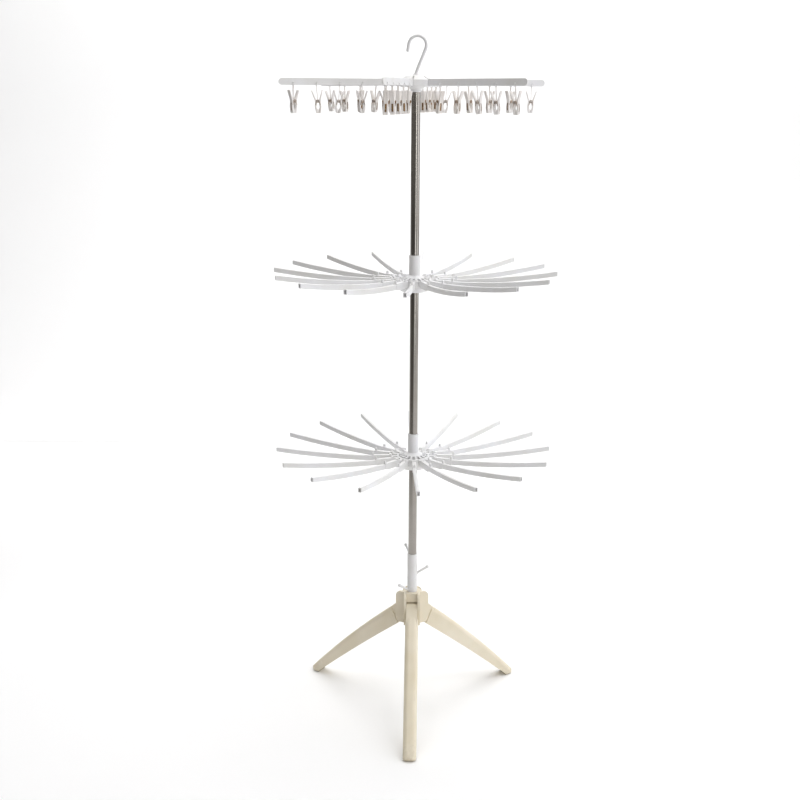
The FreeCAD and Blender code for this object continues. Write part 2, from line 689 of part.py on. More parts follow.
def make_arm(name, height, turn):
    """A curved arm: eye and tongue in the hub, hinge block with its peg, hollow-ended beam."""
    body = new_body(name)
    half_root = "arm_root_height/2"
    half_tip = "arm_tip_height/2"
    bend = "((arm_reach - ring_radius)^2 + arm_rise^2) / (2*arm_rise)"
    side = new_sketch(body, name + "_side")
    outline(side, [
        ("block_start + beam_inlay", "-" + half_root, bend, -1),
        ("arm_reach", "arm_rise - " + half_tip),
        ("arm_reach", "arm_rise + " + half_tip, bend, 1),
        ("block_start + beam_inlay", half_root),
    ])
    beam = pad(body, side, name + "_beam", "arm_width")
    rounding = body.newObject("PartDesign::Fillet", name + "_rounding")
    rounding.Base = (beam, long_edges(beam, "arm_reach/2"))
    bind(rounding, Radius="arm_edge")
    doc.recompute()
    hollow = new_sketch(body, name + "_hollow")
    outline(hollow, [
        ("arm_reach - arm_hollow", "arm_rise - %s + arm_wall" % half_tip),
        ("arm_reach + cutter_clear", "arm_rise - %s + arm_wall" % half_tip),
        ("arm_reach + cutter_clear", "arm_rise + %s - arm_wall" % half_tip),
        ("arm_reach - arm_hollow", "arm_rise + %s - arm_wall" % half_tip),
    ])
    pocket(body, hollow, name + "_hollow_cut", "arm_width - 2*arm_wall")
    block = new_sketch(body, name + "_block")
    outline(block, [
        ("block_start", "-block_bottom"),
        ("block_end - block_heel", "-block_bottom"),
        ("block_end", "block_heel_rise - block_bottom"),
        ("block_end", "block_top"),
        ("block_start + bump_foot", "block_top"),
        ("block_start + bump_far", "block_top + block_bump"),
        ("block_start + bump_near", "block_top + block_bump"),
        ("block_start", "block_top - bump_step"),
    ])
    pad(body, block, name + "_hinge_block", "block_width")
    peg = new_sketch(body, name + "_peg")
    outline(peg, [
        ("block_end - arm_peg_length", "block_top - arm_peg_root"),
        ("block_end", "block_top - arm_peg_root"),
        ("block_end", "arm_peg_top - arm_peg_crown", "arm_peg_round", -1),
        ("block_end - arm_peg_length", "arm_peg_top - arm_peg_crown"),
    ])
    pad(body, peg, name + "_peg_plate", "arm_peg_width")
    tongue = new_sketch(body, name + "_tongue")
    outline(tongue, [
        ("ring_radius", half_root, half_root, 1),
        ("ring_radius - " + half_root, "0", half_root, 1),
        ("ring_radius", "-" + half_root),
        ("block_start + tongue_inlay", "-" + half_root),
        ("block_start + tongue_inlay", half_root),
    ])
    circle(tongue, "ring_radius", "0", "wire_radius + wire_gap")
    pad(body, tongue, name + "_tongue_plate", "tongue_width")
    return place(body, height, turn)


def make_tier(level, height, first_turn):
    """Hub, wire ring and all the arms of one tier."""
    count = int(value("arm_count"))
    parts = [make_tier_hub(level + "_hub", height, first_turn), make_ring(level + "_arm_ring", height)]
    for index in range(count):
        parts.append(make_arm("%s_arm_%02d" % (level, index + 1), height, first_turn + index * 360 / count))
    return parts


# ---------------------------------------------------------------- hanger

BAR_COUNT = 6
FIRST_BAR_TURN = FRONT - 13


def make_spindle():
    """The plug that turns in the top of the pole; the hanger's socket drops over its stub."""
    body = new_body("hanger_spindle")
    sketch = new_sketch(body, "spindle_section")
    plug = "pole_bore - slip_gap"
    flange_floor = "pole_top + rest_gap"
    flange_top = flange_floor + " + spindle_flange_height"
    outline(sketch, [
        ("0", "pole_top - spindle_plug"),
        (plug, "pole_top - spindle_plug"),
        (plug, flange_floor),
        ("pole_radius", flange_floor),
        ("pole_radius", flange_top),
        ("spindle_radius", flange_top),
        ("spindle_radius", "spindle_top - spindle_bevel"),
        ("spindle_radius - spindle_bevel", "spindle_top"),
        ("0", "spindle_top"),
    ])
    turned(body, sketch, "spindle_turned")
    return body


def make_hanger_hub():
    """Socket and bell in one moulding, with six slots that the bars turn in."""
    body = new_body("hanger_hub")
    section = new_sketch(body, "hanger_hub_section")
    seat = "pole_top + 2*rest_gap + spindle_flange_height"
    slot_floor = "bar_middle - bar_height/2 - rest_gap"
    bar_top = "bar_middle + bar_height/2"
    outline(section, [
        ("0", "spindle_top + 2*rest_gap"),
        ("spindle_radius + slip_gap", "spindle_top + 2*rest_gap"),
        ("spindle_radius + slip_gap", seat),
        ("pole_radius + 2*slip_gap", seat),
        ("pole_radius + 2*slip_gap", "socket_floor"),
        ("socket_radius", "socket_floor"),
        ("socket_radius", "socket_floor + socket_skirt", "bell_flare", -1),
        ("bell_radius/2", slot_floor + " - bell_floor"),
        ("bell_radius - bell_lip_in", slot_floor + " - bell_lip_floor", "bell_lip_round", -1),
        ("bell_radius", slot_floor + " + bell_lip_rise"),
        ("bell_radius", bar_top + " - bell_side_top", "bell_shoulder_round", -1),
        ("bell_radius - bell_shoulder_in", bar_top + " + bell_shoulder_rise", "bell_dome", -1),
        ("hook_wire + collar_wall", "bell_top - collar_height"),
        ("hook_wire + collar_top_wall", "bell_top"),
        ("hook_wire + slip_gap", "bell_top"),
        ("hook_wire + slip_gap", "hook_foot - rest_gap"),
        ("0", "hook_foot - rest_gap"),
    ])
    turned(body, section, "hanger_hub_turned")
    slot = new_sketch(body, "bar_slot")
    outline(slot, [
        ("bar_slot_inner", slot_floor),
        ("bell_radius + cutter_clear", slot_floor),
        ("bell_radius + cutter_clear", "bell_top + cutter_clear"),
        ("bar_slot_inner", "bell_top + cutter_clear"),
    ])
    cut = pocket(body, slot, "bar_slot_cut", "bar_thickness + 2*swing_gap")
    polar(body, cut, "six_bar_slots", str(BAR_COUNT))
    eye = new_sketch(body, "bar_eye")
    circle(eye, "bar_pivot", "bar_middle", "bar_pin_radius + rest_gap")
    eye_cut = pocket(body, eye, "bar_eye_cut", "bar_thickness + 2*bar_pin_length + 2*rest_gap")
    polar(body, eye_cut, "six_bar_eyes", str(BAR_COUNT))
    return place(body, turn=FIRST_BAR_TURN)


def make_hook():
    """One bent rod: pin in the bell, leaning shank, open bend and a short tail with a round end."""
    wire = value("hook_wire")
    neck = value("hook_neck_bend")
    bend = value("hook_bend")
    lean = math.radians(value("hook_lean"))
    over = math.radians(value("hook_sweep"))
    start = FreeCAD.Vector(0, 0, value("hook_foot"))
    neck_start = FreeCAD.Vector(0, 0, value("bell_top"))
    neck_centre = neck_start + FreeCAD.Vector(neck, 0, 0)
    neck_middle = neck_centre - FreeCAD.Vector(math.cos(lean / 2), 0, -math.sin(lean / 2)) * neck
    neck_end = neck_centre - FreeCAD.Vector(math.cos(lean), 0, -math.sin(lean)) * neck
    along = FreeCAD.Vector(math.sin(lean), 0, math.cos(lean))
    shank_end = neck_end + along * value("hook_shank")
    centre = shank_end + FreeCAD.Vector(-math.cos(lean), 0, math.sin(lean)) * bend
    half_way = (over - lean) / 2
    bend_middle = centre + FreeCAD.Vector(math.cos(half_way), 0, math.sin(half_way)) * bend
    bend_end = centre + FreeCAD.Vector(math.cos(over), 0, math.sin(over)) * bend
    down = FreeCAD.Vector(-math.sin(over), 0, math.cos(over))
    tail_end = bend_end + down * value("hook_tail")
    path = Part.Wire([
        Part.LineSegment(start, neck_start).toShape(),
        Part.Arc(neck_start, neck_middle, neck_end).toShape(),
        Part.LineSegment(neck_end, shank_end).toShape(),
        Part.Arc(shank_end, bend_middle, bend_end).toShape(),
        Part.LineSegment(bend_end, tail_end).toShape(),
    ])
    section = Part.Wire(Part.makeCircle(wire, start, FreeCAD.Vector(0, 0, 1)))
    rod = path.makePipeShell([section], True, False)
    tip = Part.makeSphere(wire, tail_end)
    hook = doc.addObject("Part::Feature", "hook")
    hook.Label = "hook"
    hook.Shape = rod.fuse(tip).removeSplitter()
    return hook


def make_bar(name, turn):
    """A flat bar with moulded pins at its root and a hole for each clip's ring."""
    body = new_body(name)
    half = "bar_height/2"
    side = new_sketch(body, name + "_side")
    outline(side, [
        ("bar_pivot", half, half, 1),
        ("bar_pivot - " + half, "0", half, 1),
        ("bar_pivot", "-" + half),
        ("bar_reach - " + half, "-" + half, half, -1),
        ("bar_reach", "0", half, -1),
        ("bar_reach - " + half, half),
    ])
    for index in range(int(value("clip_count"))):
        circle(side, "first_clip + %d*clip_pitch" % index,
               "-%s + clip_ring_drop + clip_ring - clip_hole_drop" % half, "clip_hole")
    pad(body, side, name + "_plate", "bar_thickness")
    pin = new_sketch(body, name + "_pin")
    circle(pin, "bar_pivot", "0", "bar_pin_radius")
    pad(body, pin, name + "_pins", "bar_thickness + 2*bar_pin_length")
    return place(body, "bar_middle", turn)


def make_clip_row(name, turn):
    """The five clips of one bar: strap with its ring, two levers and a spring pin in each."""
    body = new_body(name, several=True)
    ring_height = "-bar_height/2 + clip_ring_drop"
    pivot = ring_height + " - strap_length"
    members = []

    ring = new_sketch(body, name + "_ring")
    circle(ring, "first_clip", ring_height + " - clip_ring", "clip_ring_wire")
    middle = FreeCAD.Vector(value("first_clip"), value(ring_height), 0)
    along = FreeCAD.Vector(value("clip_ring_axis"), 0, 0)
    axis_line = ring.addGeometry(Part.LineSegment(middle, middle + along), True)
    pin_point(ring, axis_line, 1, "first_clip", ring_height, "axis_a")
    pin_point(ring, axis_line, 2, "first_clip + clip_ring_axis", ring_height, "axis_b")
    turn_feature = body.newObject("PartDesign::Revolution", name + "_ring_turned")
    turn_feature.Profile = ring
    turn_feature.ReferenceAxis = (ring, ["Axis0"])
    turn_feature.Angle = 360
    doc.recompute()
    members.append(turn_feature)

    strap = new_sketch(body, name + "_strap")
    half = "strap_thickness/2"
    neck = "sqrt(clip_eye^2 - (%s)^2)" % half
    outline(strap, [
        ("first_clip - " + half, "%s - clip_ring + strap_grip" % ring_height),
        ("first_clip - " + half, "%s + %s" % (pivot, neck), "clip_eye", -1),
        ("first_clip", "%s - clip_eye" % pivot, "clip_eye", -1),
        ("first_clip + " + half, "%s + %s" % (pivot, neck)),
        ("first_clip + " + half, "%s - clip_ring + strap_grip" % ring_height),
    ])
    circle(strap, "first_clip", pivot, "clip_pin + clip_pin_gap")
    members.append(pad(body, strap, name + "_strap_plate", "strap_width"))

    for side, sign in (("inner", -1), ("outer", 1)):
        lever = new_sketch(body, "%s_%s_lever" % (name, side))

        def spot(across, up):
            return ("first_clip + %d*(%s)" % (sign, across), "%s + %s" % (pivot, up))
        outline(lever, [
            spot("handle_spread - jaw_wall", "handle_height"),
            spot("handle_spread", "handle_height - handle_bevel"),
            spot("lever_inner + jaw_wall", "lever_elbow"),
            spot("jaw_belly + jaw_wall - belly_thinning", "(-belly_depth)"),
            spot("jaw_wall - tip_thinning", "(-jaw_depth)"),
            spot("jaw_gap/2", "(-jaw_depth)"),
            spot("jaw_gap/2", "(jaw_bite - jaw_depth)"),
            spot("jaw_belly", "(-belly_depth)"),
            spot("lever_inner", "(-lever_waist)"),
            spot("lever_inner", "lever_waist"),
        ])
        members.append(pad(body, lever, "%s_%s_lever_plate" % (name, side), "jaw_width"))

    pin = new_sketch(body, name + "_pin")
    circle(pin, "first_clip", pivot, "clip_pin")
    members.append(pad(body, pin, name + "_pin_rod", "jaw_width + 2*clip_pin_end"))

    row = body.newObject("PartDesign::LinearPattern", name + "_row")
    row.Originals = members
    row.Direction = (origin_plane(body, "X_Axis"), [""])
    bind(row, Length="(clip_count - 1)*clip_pitch", Occurrences="clip_count")
    body.Tip = row
    doc.recompute()
    return place(body, "bar_middle", turn)


# ---------------------------------------------------------------- assembly

UPPER_TIER_TURN = FRONT - 4.1
LOWER_TIER_TURN = FRONT + 1.4


def make_all():
    parts = [make_base_hub()]
    parts += [make_leg(name, turn) for name, turn in LEG_TURNS.items()]
    parts.append(make_base_tube())
    parts += make_poles()
    parts.append(group("pole_couplings", [
        make_coupling("lower_coupling", "lower_tier_height"),
        make_coupling("upper_coupling", "upper_tier_height"),
    ]))
    parts += make_tier("lower", "lower_tier_height", LOWER_TIER_TURN)
    parts += make_tier("upper", "upper_tier_height", UPPER_TIER_TURN)
    parts += [make_spindle(), make_hanger_hub(), make_hook()]
    for index in range(BAR_COUNT):
        turn = FIRST_BAR_TURN + index * 360 / BAR_COUNT
        parts.append(make_bar("hanger_bar_%d" % (index + 1), turn))
        parts.append(make_clip_row("clips_%d" % (index + 1), turn))
    return parts


def check(parts):
    """Stop if any object failed or any sub-part has no sound shape."""
    doc.recompute()
    for thing in doc.Objects:
        if "Invalid" in thing.State or "Error" in thing.State:
            raise RuntimeError("%s failed: %s" % (thing.Name, thing.State))
    for part in parts:
        if part.Shape.isNull() or not part.Shape.isValid():
            raise RuntimeError("%s has no sound shape" % part.Label)


def export(parts):
    os.makedirs("parts", exist_ok=True)
    for part in parts:
        part.Shape.exportStep("parts/%s.step" % part.Label)
        print("%-18s solids %2d  volume %10.0f" % (part.Label, len(part.Shape.Solids), part.Shape.Volume))


subparts = make_all()
check(subparts)
export(subparts)
print(len(subparts), "nodes")
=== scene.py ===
import json
import math
import random

import bmesh
import bpy
from mathutils import Matrix, Vector


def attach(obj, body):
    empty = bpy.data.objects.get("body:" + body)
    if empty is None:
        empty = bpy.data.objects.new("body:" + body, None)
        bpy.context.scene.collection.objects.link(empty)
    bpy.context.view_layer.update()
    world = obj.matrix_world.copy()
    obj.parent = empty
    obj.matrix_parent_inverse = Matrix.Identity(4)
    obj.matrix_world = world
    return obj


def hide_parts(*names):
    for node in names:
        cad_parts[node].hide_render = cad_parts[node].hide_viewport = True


# A drying tower: three ivory legs, a polished pole, two tiers of white arms and a hanger with thirty clips.

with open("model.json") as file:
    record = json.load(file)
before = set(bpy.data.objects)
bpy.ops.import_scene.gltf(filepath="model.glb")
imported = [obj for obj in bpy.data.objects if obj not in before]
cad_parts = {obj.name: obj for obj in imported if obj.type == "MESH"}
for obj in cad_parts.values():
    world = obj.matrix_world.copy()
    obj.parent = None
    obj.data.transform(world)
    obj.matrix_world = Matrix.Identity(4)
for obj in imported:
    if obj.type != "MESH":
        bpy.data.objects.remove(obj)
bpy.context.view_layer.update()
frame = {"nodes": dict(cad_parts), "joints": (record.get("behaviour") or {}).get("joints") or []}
nodes = frame["nodes"]
joints = {joint["name"]: joint for joint in frame["joints"]}

MM = 0.001
BARS = [str(number) for number in range(1, 7)]
CLIPS_ON_A_BAR = 5
FIRST_CLIP = 78.0
CLIP_PITCH = 55.0


# ------------------------------------------------------------ shader maths

class Reading:
    """One socket of a finish.  Its arithmetic adds Math nodes."""

    def __init__(self, finish, socket):
        self.finish = finish
        self.socket = socket

    def sum_of(self, operation, first, second=0.0):
        return self.finish.add("ShaderNodeMath", {"operation": operation}, {0: first, 1: second})

    def __add__(self, other):
        return self.sum_of("ADD", self, other)

    def __radd__(self, other):
        return self.sum_of("ADD", other, self)

    def __sub__(self, other):
        return self.sum_of("SUBTRACT", self, other)

    def __rsub__(self, other):
        return self.sum_of("SUBTRACT", other, self)

    def __mul__(self, other):
        return self.sum_of("MULTIPLY", self, other)

    def __rmul__(self, other):
        return self.sum_of("MULTIPLY", other, self)

    def __pow__(self, other):
        return self.sum_of("POWER", self, other)

    def __lt__(self, other):
        return self.sum_of("LESS_THAN", self, other)


class Finish:
    """A material, or the room's air, whose nodes all come from one method."""

    def __init__(self, name, made_in="materials", shader="Principled BSDF"):
        self.material = getattr(bpy.data, made_in).new(name)
        self.material.use_nodes = True
        self.tree = self.material.node_tree
        self.shader = self.tree.nodes[shader]

    def add(self, kind, settings=None, inputs=None, output=0):
        """A node: its settings first, then the values or links of its sockets.  Without a chosen
        output it gives all of them."""
        node = self.tree.nodes.new(kind)
        for name, setting in (settings or {}).items():
            setattr(node, name, setting)
        for name, value in (inputs or {}).items():
            self.feed(node.inputs[name], value)
        if output is None:
            return [Reading(self, socket) for socket in node.outputs]
        return Reading(self, node.outputs[output])

    def feed(self, socket, value):
        if isinstance(value, Reading):
            self.tree.links.new(value.socket, socket)
        else:
            socket.default_value = value

    def skin(self, **values):
        """Feed the shader's own sockets; underscores in the names stand for spaces."""
        for name, value in values.items():
            self.feed(self.shader.inputs[name.replace("_", " ")], value)

    def place(self):
        """Where a point of the piece lies at rest, in metres."""
        return self.add("ShaderNodeTexCoord", output="Object")

    def stretched(self, place, scale):
        return self.add("ShaderNodeMapping", None, {"Vector": place, "Scale": scale})

    def noise(self, place, scale, detail=3.0, roughness=0.55):
        return self.add("ShaderNodeTexNoise", {"noise_dimensions": "3D"},
                        {"Vector": place, "Scale": scale, "Detail": detail, "Roughness": roughness})

    def patches(self, place, waves, octaves, roughness, start, full):
        """Soft-edged patches of noise; they start to show at one level and are full at another."""
        return self.grade(self.noise(place, waves, octaves, roughness), start, full)

    def grade(self, reading, low, high, to_low=0.0, to_high=1.0, curve="LINEAR"):
        """Stretch a range of readings over another range, clamped at both ends."""
        return self.add("ShaderNodeMapRange", {"clamp": True, "interpolation_type": curve},
                        {"Value": reading, "From Min": low, "From Max": high,
                         "To Min": to_low, "To Max": to_high})

    def blend(self, factor, first, second):
        """Blend two colours."""
        return self.add("ShaderNodeMix", {"data_type": "RGBA"},
                        {0: factor, 6: first, 7: second}, output=2)

    def relief(self, height, distance, strength=1.0, under=None):
        inputs = {"Height": height, "Distance": distance, "Strength": strength}
        if under is not None:
            inputs["Normal"] = under
        return self.add("ShaderNodeBump", None, inputs)

    def ways(self, place):
        """The separate X, Y and Z of a place."""
        return self.add("ShaderNodeSeparateXYZ", None, {0: place}, output=None)


def linear(red, green, blue):
    """A colour given as it looks on a screen, 0 to 255."""
    def one(level):
        share = level / 255
        return share / 12.92 if share <= 0.04045 else ((share + 0.055) / 1.055) ** 2.4
    return (one(red), one(green), one(blue), 1.0)


# ------------------------------------------------------------ finishes

# Patches: waves per metre, octaves, roughness, level where they start, level where they are full.
DRIFT = (9.0, 2.0, 0.55, 0.36, 0.66)
SPECK = (900.0, 1.0, 0.55, 0.60, 0.74)
RUBBED = (46.0, 4.0, 0.68, 0.50, 0.72)
SCRATCH = (1.0, 2.0, 0.70, 0.685, 0.72)
WATER_MARKS = (75.0, 5.0, 0.72, 0.56, 0.74)
DULL_SPOTS = (260.0, 4.0, 0.70, 0.50, 0.75)
# Lines: how far the noise is squeezed along X, Y and Z.
SCRATCH_LINES = (310.0, 290.0, 24.0)
DRAWING_LINES = (2600.0, 2600.0, 18.0)
POLISHING_RINGS = (40.0, 40.0, 5200.0)
DIE_LINES = (900.0, 900.0, 300.0)
# Relief: depth in metres, strength.
SKIN_RELIEF = (0.00005, 0.35)
SCRATCH_RELIEF = (0.00004, 0.25)
SOLE_RELIEF = (0.0003, 0.5)
DRAWING_RELIEF = (0.00002, 0.25)
RING_RELIEF = (0.00001, 0.20)
DIE_RELIEF = (0.00004, 0.3)
# How much of a colour shows, and how much an effect dulls the gloss.
DUST_SHOWS, HANDLING_SHOWS, SCUFFS_SHOW, MARKS_SHOW, DULL_SHOWS = 0.10, 0.10, 0.22, 0.35, 0.6
RUBBED_DULLS, DRIFT_DULLS, SCRATCH_DULLS = 0.12, 0.05, 0.10
SCUFFS_DULL, SOLE_DULLS, RINGS_DULL, MARKS_DULL, SPOTS_DULL = 0.2, 0.35, 0.07, 0.12, 0.22
STEEL_GLOSS, WIRE_GLOSS = 0.10, 0.24

DUST = linear(150, 142, 128)
HANDLING = linear(205, 200, 190)
SCUFFED = linear(168, 156, 132)
TARNISH = linear(150, 144, 136)
SOLE_COLOURS = (linear(168, 156, 133), linear(184, 173, 150))
STEEL_COLOURS = (linear(166, 162, 157), linear(150, 145, 138))
SOLE_HEIGHT = 3.02 * MM
SCUFFS_END, SCUFFS_FULL = 0.10, 0.008


def moulded(finish, place, fresh, aged, gloss, grain, shift=0.0):
    """Injection-moulded plastic: slow colour drift, handling marks, fine skin and a few scratches."""
    drift = finish.patches(place, *DRIFT)
    speck = finish.patches(place, *SPECK)
    rubbed = finish.patches(place, RUBBED[0] + shift, *RUBBED[1:])
    scratch = finish.patches(finish.stretched(place, SCRATCH_LINES), *SCRATCH)
    tint = finish.blend(drift, fresh, aged)
    tint = finish.blend(speck * DUST_SHOWS, tint, DUST)
    tint = finish.blend(rubbed * HANDLING_SHOWS, tint, HANDLING)
    rough = gloss + rubbed * RUBBED_DULLS + drift * DRIFT_DULLS + scratch * SCRATCH_DULLS
    bump = finish.relief(finish.noise(place, grain, 2.0, 0.5), *SKIN_RELIEF)
    bump = finish.relief(1.0 - scratch, *SCRATCH_RELIEF, bump)
    return tint, rough, bump


def ivory_plastic():
    """Cream plastic of the legs and their hub, with greyer scuffs low on the feet and rubber soles."""
    finish = Finish("ivory_plastic")
    place = finish.place()
    tint, rough, bump = moulded(finish, place, linear(229, 220, 200), linear(220, 209, 184), 0.36, 1500.0)
    height = finish.ways(place)[2]
    scuff = finish.noise(place, 130.0, 5.0, 0.7)
    low = finish.grade(height, SCUFFS_END, SCUFFS_FULL)
    worn = finish.grade(scuff * 0.8 + low * 0.35, 0.62, 0.82) * low
    tint = finish.blend(worn * SCUFFS_SHOW, tint, SCUFFED)
    sole = height < SOLE_HEIGHT
    grip = finish.noise(place, 2200.0, 2.0)
    finish.skin(Base_Color=finish.blend(sole, tint, finish.blend(grip, *SOLE_COLOURS)),
                Roughness=rough + worn * SCUFFS_DULL + sole * SOLE_DULLS,
                Normal=finish.relief(grip * sole, *SOLE_RELIEF, bump))
    finish.skin(Subsurface_Weight=0.06, Subsurface_Radius=(0.006, 0.005, 0.003), Subsurface_Scale=0.6,
                Specular_IOR_Level=0.5, IOR=1.5)
    return finish.material


def white_plastic(name, fresh, aged, gloss=0.32, shift=0.0):
    """White plastic with a faint warm ageing where hands and dust reach it."""
    finish = Finish(name)
    tint, rough, bump = moulded(finish, finish.place(), fresh, aged, gloss, 1800.0, shift)
    finish.skin(Base_Color=tint, Roughness=rough, Normal=bump)
    finish.skin(Subsurface_Weight=0.05, Subsurface_Radius=(0.004, 0.004, 0.0035), Subsurface_Scale=0.5,
                Specular_IOR_Level=0.5, IOR=1.49)
    return finish.material


def steel_tube():
    """Polished steel tube: drawing lines along it, fine polishing rings round it, a few water marks."""
    finish = Finish("steel_tube")
    place = finish.place()
    drawn = finish.noise(finish.stretched(place, DRAWING_LINES), 1.0, 3.0, 0.6)
    rings = finish.noise(finish.stretched(place, POLISHING_RINGS), 1.0, 2.0, 0.6)
    marks = finish.patches(place, *WATER_MARKS)
    tint = finish.blend(finish.noise(place, 14.0, 2.0), *STEEL_COLOURS)
    tint = finish.blend(marks * MARKS_SHOW, tint, TARNISH)
    rough = STEEL_GLOSS + finish.grade(rings, 0.35, 0.70, 0.0, RINGS_DULL) + marks * MARKS_DULL
    bump = finish.relief(drawn, *DRAWING_RELIEF)
    bump = finish.relief(rings, *RING_RELIEF, bump)
    finish.skin(Base_Color=tint, Roughness=rough, Normal=bump, Metallic=1.0)
    return finish.material


def bright_wire(name, light):
    """Drawn spring wire."""
    finish = Finish(name)
    place = finish.place()
    lines = finish.noise(finish.stretched(place, DIE_LINES), 1.0, 3.0, 0.6)
    dull = finish.patches(place, *DULL_SPOTS)
    finish.skin(Base_Color=finish.blend(dull * DULL_SHOWS, light, TARNISH),
                Roughness=WIRE_GLOSS + dull * SPOTS_DULL,
                Normal=finish.relief(lines, *DIE_RELIEF), Metallic=1.0)
    return finish.material


IVORY = ivory_plastic()
WHITE = white_plastic("white_plastic", linear(231, 231, 233), linear(224, 223, 221))
HOOK_WHITE = white_plastic("hook_plastic", linear(222, 222, 224), linear(214, 214, 213), 0.28, 5.0)
CLIP_WHITE = white_plastic("clip_plastic", linear(240, 237, 235), linear(228, 222, 216), 0.30, 11.0)
STEEL = steel_tube()
WIRE = bright_wire("steel_wire", linear(205, 203, 199))
BRONZE = bright_wire("spring_wire", linear(142, 112, 78))
CLIP_EDGE = 50.0


def coat(piece, finish):
    """Put one finish on a piece."""
    piece.data.materials.clear()
    piece.data.materials.append(finish)


def smooth_faces(mesh, edge_angle):
    """Smooth shading that stops at edges sharper than the angle."""
    mesh.polygons.foreach_set("use_smooth", [True] * len(mesh.polygons))
    mesh.set_sharp_from_angle(angle=math.radians(edge_angle))


# Every other piece is white plastic.
FINISH_OF = {
    "base_hub": IVORY, "leg_front": IVORY, "leg_right": IVORY, "leg_left": IVORY,
    "lower_pole": STEEL, "middle_pole": STEEL, "top_pole": STEEL,
    "lower_arm_ring": WIRE, "upper_arm_ring": WIRE,
    "hook": HOOK_WHITE,
}
for name, piece in nodes.items():
    coat(piece, CLIP_WHITE if name.startswith("clips_") else FINISH_OF.get(name, WHITE))


# ------------------------------------------------------------ clips

def new_piece(name, shape, finish, body):
    """Turn a bmesh into a piece that rides on a body."""
    mesh = bpy.data.meshes.new(name)
    shape.to_mesh(mesh)
    shape.free()
    piece = bpy.data.objects.new(name, mesh)
    bpy.context.scene.collection.objects.link(piece)
    coat(piece, finish)
    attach(piece, body)
    return piece


def loft(shape, rings, closed=False):
    """Join rings of points, all of the same count, into a skin; open ends get a cap."""
    loops = [[shape.verts.new(point) for point in ring] for ring in rings]
    count = len(loops[0])
    pairs = list(zip(loops, loops[1:]))
    if closed:
        pairs.append((loops[-1], loops[0]))
    for first, second in pairs:
        for index in range(count):
            after = (index + 1) % count
            shape.faces.new((first[index], first[after], second[after], second[index]))
    if not closed:
        shape.faces.new(list(reversed(loops[0])))
        shape.faces.new(loops[-1])


def rounded_section(centre, across, up, half_width, half_height, corner, steps=3):
    """A rectangle with round corners, in the plane of two directions."""
    points = []
    corners = ((1, 1, 0), (-1, 1, 90), (-1, -1, 180), (1, -1, 270))
    for right, top, start in corners:
        for step in range(steps + 1):
            angle = math.radians(start + 90 * step / steps)
            x = right * (half_width - corner) + corner * math.cos(angle)
            y = top * (half_height - corner) + corner * math.sin(angle)
            points.append(centre + across * x + up * y)
    return points


def round_section(centre, across, up, radius, count=10):
    return [centre + across * (radius * math.cos(2 * math.pi * i / count))
            + up * (radius * math.sin(2 * math.pi * i / count)) for i in range(count)]


def rod(shape, points, radius, count=10, closed=False):
    """A round rod along a run of points."""
    rings = []
    last = len(points) - 1
    side = None
    for index, point in enumerate(points):
        before = points[index - 1] if index > 0 or closed else points[0]
        after = points[(index + 1) % len(points)] if index < last or closed else points[last]
        ahead = (after - before).normalized()
        if side is None:
            side = ahead.orthogonal().normalized()
        side = (side - ahead * side.dot(ahead)).normalized()
        rings.append(round_section(point, side, ahead.cross(side), radius, count))
    loft(shape, rings, closed)


X, Y, Z = Vector((1, 0, 0)), Vector((0, 1, 0)), Vector((0, 0, 1))

# One clip, in millimetres about its spring pin: X along the bar, Y across it, Z up.
LEVER = [
    # height, outer face, inner face, half width, depth of the groove in the outer face
    (25.0, 13.0, 11.5, 4.4, 0.10),
    (24.2, 13.4, 11.0, 5.3, 0.10),
    (21.0, 12.4, 9.9, 5.9, 0.10),
    (15.0, 10.6, 7.9, 5.8, 0.10),
    (9.0, 8.9, 5.8, 5.4, 0.10),
    (4.5, 7.5, 3.9, 5.2, 0.10),
    (1.5, 6.9, 2.4, 5.2, 0.10),
    (-2.4, 6.8, 2.25, 5.2, 0.12),
    (-3.2, 6.85, 2.25, 5.3, 1.70),
    (-6.5, 7.1, 2.3, 5.5, 1.75),
    (-9.0, 7.3, 3.2, 5.7, 1.75),
    (-12.0, 7.4, 3.9, 5.8, 1.70),
    (-15.0, 7.2, 3.5, 5.8, 1.70),
    (-17.5, 6.9, 1.9, 5.8, 1.60),
    (-19.0, 6.7, 0.9, 5.8, 1.50),
    (-21.0, 6.4, 0.45, 5.8, 1.40),
    (-21.9, 6.25, 0.35, 5.8, 0.12),
    (-25.6, 5.6, 0.2, 5.6, 0.10),
    (-27.2, 4.9, 0.3, 5.0, 0.10),
]
# height, outward place of the spring's leaf on the floor of the groove
LEAF = [(-3.6, 5.45), (-6.5, 5.65), (-9.0, 5.85), (-12.0, 6.0), (-15.0, 5.8), (-17.5, 5.6), (-20.6, 5.3)]
# height, half width, half thickness
STRAP = [(-2.0, 1.6, 0.7), (-1.4, 2.1, 1.4), (0.0, 2.1, 1.95), (1.6, 2.1, 1.7), (3.2, 2.1, 1.0),
         (7.0, 2.0, 0.9), (16.0, 1.9, 0.85), (28.7, 2.0, 0.9), (33.3, 1.9, 0.9), (34.7, 1.1, 0.8)]
